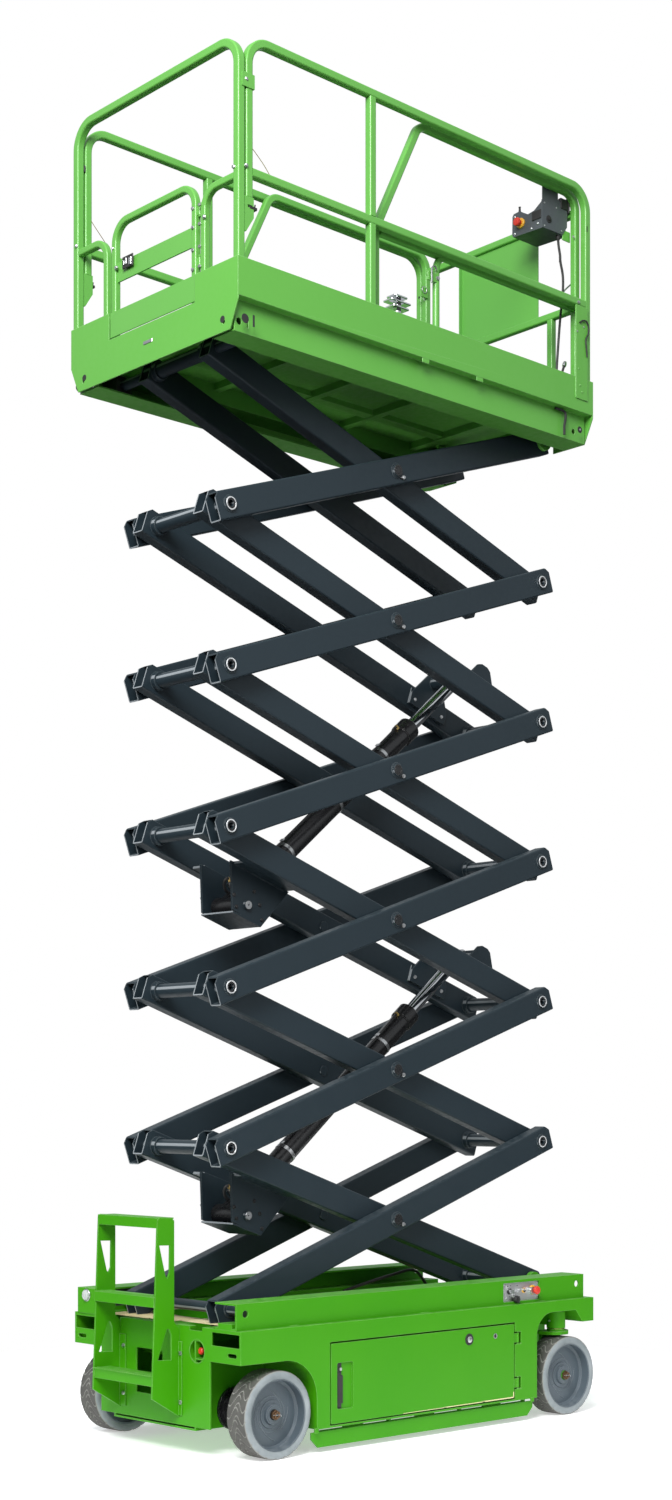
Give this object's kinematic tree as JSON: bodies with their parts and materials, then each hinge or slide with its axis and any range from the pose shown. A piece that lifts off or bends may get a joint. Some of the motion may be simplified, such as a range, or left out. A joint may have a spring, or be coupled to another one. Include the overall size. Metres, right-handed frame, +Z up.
{
  "type": "electric scissor lift",
  "caption": "Self-propelled electric scissor lift with a coupled folding arm stack, railed platform with sliding extension deck, steered wheels and service doors.",
  "frame": {"origin": "centre of the machine's plan at ground level", "axes": "+X towards the steering end, -Y towards the near side with the ground controls, +Z up"},
  "size_m": [2.4425, 1.198, 6.0397],
  "materials": {
    "machine_green": "glossy paint",
    "arm_slate": "satin paint",
    "chrome": "chromed",
    "cylinder_black": "gloss paint",
    "tyre": "grey solid rubber",
    "rim_grey": "satin paint",
    "block_plastic": "matt",
    "control_plastic": "matt",
    "panel_silver": "satin",
    "battery_grey": "matt"
  },
  "bodies": {
    "chassis": {"chassis_frame": "machine_green", "pivot_brackets": "machine_green", "base_tracks": "machine_green", "steer_beams": "machine_green", "drive_motors": "cylinder_black", "ladder": "machine_green", "ground_controls": "panel_silver"},
    "drive_wheel_near": {"tyre_drive_near": "tyre", "rim_drive_near": "rim_grey"},
    "steer_knuckle_near": {"knuckle_near": "machine_green"},
    "steer_wheel_near": {"tyre_steer_near": "tyre", "rim_steer_near": "rim_grey"},
    "drive_wheel_far": {"tyre_drive_far": "tyre", "rim_drive_far": "rim_grey"},
    "steer_knuckle_far": {"knuckle_far": "machine_green"},
    "steer_wheel_far": {"tyre_steer_far": "tyre", "rim_steer_far": "rim_grey"},
    "service_door_near": {"door_near": "machine_green", "tray_near": "machine_green", "power_pack": "cylinder_black"},
    "service_door_far": {"door_far": "machine_green", "tray_far": "machine_green", "battery_bank": "battery_grey"},
    "pothole_guard_near": {"guard_near": "machine_green"},
    "pothole_guard_far": {"guard_far": "machine_green"},
    "outer_arm_pair_1": {"outer_arms_1": "arm_slate"},
    "inner_arm_pair_1": {"inner_arms_1": "arm_slate"},
    "outer_arm_pair_2": {"outer_arms_2": "arm_slate"},
    "inner_arm_pair_2": {"inner_arms_2": "arm_slate"},
    "outer_arm_pair_3": {"outer_arms_3": "arm_slate"},
    "inner_arm_pair_3": {"inner_arms_3": "arm_slate"},
    "outer_arm_pair_4": {"outer_arms_4": "arm_slate"},
    "inner_arm_pair_4": {"inner_arms_4": "arm_slate"},
    "outer_arm_pair_5": {"outer_arms_5": "arm_slate"},
    "inner_arm_pair_5": {"inner_arms_5": "arm_slate"},
    "outer_arm_pair_6": {"outer_arms_6": "arm_slate"},
    "inner_arm_pair_6": {"inner_arms_6": "arm_slate"},
    "platform": {"deck": "machine_green", "deck_channels": "machine_green", "toe_boards": "machine_green", "side_rail_near": "machine_green", "side_rail_far": "machine_green", "end_rail": "machine_green"},
    "base_blocks": {"base_slide_blocks": "block_plastic"},
    "top_blocks": {"top_slide_blocks": "block_plastic"},
    "cylinder_barrel_lower": {"barrel_lower": "cylinder_black"},
    "cylinder_rod_lower": {"rod_lower": "chrome"},
    "cylinder_barrel_upper": {"barrel_upper": "cylinder_black"},
    "cylinder_rod_upper": {"rod_upper": "chrome"},
    "entry_gate": {"gate": "machine_green"},
    "extension": {"extension_deck": "machine_green", "extension_rails": "machine_green", "extension_panel": "machine_green", "control_box": "control_plastic", "control_cable": "control_plastic"}
  },
  "joints": [
    {"name": "drive_wheel_near_spin", "type": "hinge", "parent": "chassis", "child": "drive_wheel_near", "pos_m": [-0.8525, -0.5265, 0.1905], "axis": [0, 1, 0], "continuous": true},
    {"name": "steer_near", "type": "hinge", "parent": "chassis", "child": "steer_knuckle_near", "pos_m": [1.0345, -0.505, 0.1905], "axis": [0, 0, 1], "range_deg": [-60, 60]},
    {"name": "steer_wheel_near_spin", "type": "hinge", "parent": "steer_knuckle_near", "child": "steer_wheel_near", "pos_m": [1.0345, -0.5265, 0.1905], "axis": [0, 1, 0], "continuous": true},
    {"name": "drive_wheel_far_spin", "type": "hinge", "parent": "chassis", "child": "drive_wheel_far", "pos_m": [-0.8525, 0.5265, 0.1905], "axis": [0, 1, 0], "continuous": true},
    {"name": "steer_far", "type": "hinge", "parent": "chassis", "child": "steer_knuckle_far", "pos_m": [1.0345, 0.505, 0.1905], "axis": [0, 0, 1], "range_deg": [-60, 60]},
    {"name": "steer_wheel_far_spin", "type": "hinge", "parent": "steer_knuckle_far", "child": "steer_wheel_far", "pos_m": [1.0345, 0.5265, 0.1905], "axis": [0, 1, 0], "continuous": true},
    {"name": "door_near_swing", "type": "hinge", "parent": "chassis", "child": "service_door_near", "pos_m": [0.6685, -0.582, 0.3], "axis": [0, 0, 1], "range_deg": [0, 95]},
    {"name": "door_far_swing", "type": "hinge", "parent": "chassis", "child": "service_door_far", "pos_m": [0.6685, 0.582, 0.3], "axis": [0, 0, -1], "range_deg": [0, 95]},
    {"name": "guard_near_fold", "type": "hinge", "parent": "chassis", "child": "pothole_guard_near", "pos_m": [0.0645, -0.556, 0.09], "axis": [1, 0, 0], "range_deg": [0, 90]},
    {"name": "guard_far_fold", "type": "hinge", "parent": "chassis", "child": "pothole_guard_far", "pos_m": [0.0645, 0.556, 0.09], "axis": [-1, 0, 0], "range_deg": [0, 90]},
    {"name": "lift", "type": "hinge", "parent": "chassis", "child": "inner_arm_pair_1", "pos_m": [1.1295, 0, 0.628], "axis": [0, 1, 0], "range_deg": [-15.4, 42]},
    {"name": "centre_pin_1", "type": "hinge", "parent": "inner_arm_pair_1", "child": "outer_arm_pair_1", "pos_m": [0.11307, 0, 0.97799], "axis": [0, 1, 0], "range_deg": [-84.5, 31.3]},
    {"name": "left_pin_1", "type": "hinge", "parent": "inner_arm_pair_1", "child": "outer_arm_pair_2", "pos_m": [-0.90336, 0, 1.32797], "axis": [0, 1, 0], "range_deg": [-84.5, 31.3]},
    {"name": "centre_pin_2", "type": "hinge", "parent": "outer_arm_pair_2", "child": "inner_arm_pair_2", "pos_m": [0.11307, 0, 1.67796], "axis": [0, 1, 0], "range_deg": [-31.3, 84.5]},
    {"name": "right_pin_2", "type": "hinge", "parent": "outer_arm_pair_2", "child": "inner_arm_pair_3", "pos_m": [1.1295, 0, 2.02794], "axis": [0, 1, 0], "range_deg": [-31.3, 84.5]},
    {"name": "centre_pin_3", "type": "hinge", "parent": "inner_arm_pair_3", "child": "outer_arm_pair_3", "pos_m": [0.11307, 0, 2.37793], "axis": [0, 1, 0], "range_deg": [-84.5, 31.3]},
    {"name": "left_pin_3", "type": "hinge", "parent": "inner_arm_pair_3", "child": "outer_arm_pair_4", "pos_m": [-0.90336, 0, 2.72791], "axis": [0, 1, 0], "range_deg": [-84.5, 31.3]},
    {"name": "centre_pin_4", "type": "hinge", "parent": "outer_arm_pair_4", "child": "inner_arm_pair_4", "pos_m": [0.11307, 0, 3.0779], "axis": [0, 1, 0], "range_deg": [-31.3, 84.5]},
    {"name": "right_pin_4", "type": "hinge", "parent": "outer_arm_pair_4", "child": "inner_arm_pair_5", "pos_m": [1.1295, 0, 3.42789], "axis": [0, 1, 0], "range_deg": [-31.3, 84.5]},
    {"name": "centre_pin_5", "type": "hinge", "parent": "inner_arm_pair_5", "child": "outer_arm_pair_5", "pos_m": [0.11307, 0, 3.77787], "axis": [0, 1, 0], "range_deg": [-84.5, 31.3]},
    {"name": "left_pin_5", "type": "hinge", "parent": "inner_arm_pair_5", "child": "outer_arm_pair_6", "pos_m": [-0.90336, 0, 4.12786], "axis": [0, 1, 0], "range_deg": [-84.5, 31.3]},
    {"name": "centre_pin_6", "type": "hinge", "parent": "outer_arm_pair_6", "child": "inner_arm_pair_6", "pos_m": [0.11307, 0, 4.47784], "axis": [0, 1, 0], "range_deg": [-31.3, 84.5]},
    {"name": "platform_pin", "type": "hinge", "parent": "outer_arm_pair_6", "child": "platform", "pos_m": [1.1295, 0, 4.82783], "axis": [0, 1, 0], "range_deg": [-15.9, 42.5]},
    {"name": "base_block_pin", "type": "hinge", "parent": "outer_arm_pair_1", "child": "base_blocks", "pos_m": [-0.90336, 0, 0.628], "axis": [0, 1, 0], "range_deg": [-15.9, 42.5]},
    {"name": "top_block_pin", "type": "hinge", "parent": "inner_arm_pair_6", "child": "top_blocks", "pos_m": [-0.90336, 0, 4.82783], "axis": [0, 1, 0], "range_deg": [-42.5, 15.9]},
    {"name": "barrel_lower_tilt", "type": "hinge", "parent": "inner_arm_pair_1", "child": "cylinder_barrel_lower", "pos_m": [-0.62499, 0, 1.01531], "axis": [0, 1, 0], "range_deg": [-78.2, 28.99]},
    {"name": "rod_lower_stroke", "type": "slide", "parent": "cylinder_barrel_lower", "child": "cylinder_rod_lower", "axis": [0.7692, 0, 0.6391], "range_m": [-0.3514, 0.9549]},
    {"name": "barrel_upper_tilt", "type": "hinge", "parent": "inner_arm_pair_3", "child": "cylinder_barrel_upper", "pos_m": [-0.62499, 0, 2.41525], "axis": [0, 1, 0], "range_deg": [-78.2, 28.99]},
    {"name": "rod_upper_stroke", "type": "slide", "parent": "cylinder_barrel_upper", "child": "cylinder_rod_upper", "axis": [0.7692, 0, 0.6391], "range_m": [-0.3514, 0.9549]},
    {"name": "gate_swing", "type": "hinge", "parent": "platform", "child": "entry_gate", "pos_m": [-1.0592, -0.311, 5.13983], "axis": [0, 0, -1], "range_deg": [0, 90]},
    {"name": "extension_slide", "type": "slide", "parent": "platform", "child": "extension", "axis": [1, 0, 0], "range_m": [0, 0.9]}
  ],
  "couplings": [
    {"joint": "steer_far", "follows": "steer_near", "ratio": 1},
    {"joint": "centre_pin_1", "follows": "lift", "ratio": -2},
    {"joint": "left_pin_1", "follows": "lift", "ratio": -2},
    {"joint": "centre_pin_2", "follows": "lift", "ratio": 2},
    {"joint": "right_pin_2", "follows": "lift", "ratio": 2},
    {"joint": "centre_pin_3", "follows": "lift", "ratio": -2},
    {"joint": "left_pin_3", "follows": "lift", "ratio": -2},
    {"joint": "centre_pin_4", "follows": "lift", "ratio": 2},
    {"joint": "right_pin_4", "follows": "lift", "ratio": 2},
    {"joint": "centre_pin_5", "follows": "lift", "ratio": -2},
    {"joint": "left_pin_5", "follows": "lift", "ratio": -2},
    {"joint": "centre_pin_6", "follows": "lift", "ratio": 2},
    {"joint": "platform_pin", "follows": "lift", "ratio": 1},
    {"joint": "base_block_pin", "follows": "lift", "ratio": 1},
    {"joint": "top_block_pin", "follows": "lift", "ratio": -1},
    {"joint": "barrel_lower_tilt", "follows": "lift", "ratio": -1.85},
    {"joint": "rod_lower_stroke", "follows": "lift", "m_per_rad": 1.3},
    {"joint": "barrel_upper_tilt", "follows": "lift", "ratio": -1.85},
    {"joint": "rod_upper_stroke", "follows": "lift", "m_per_rad": 1.3}
  ]
}
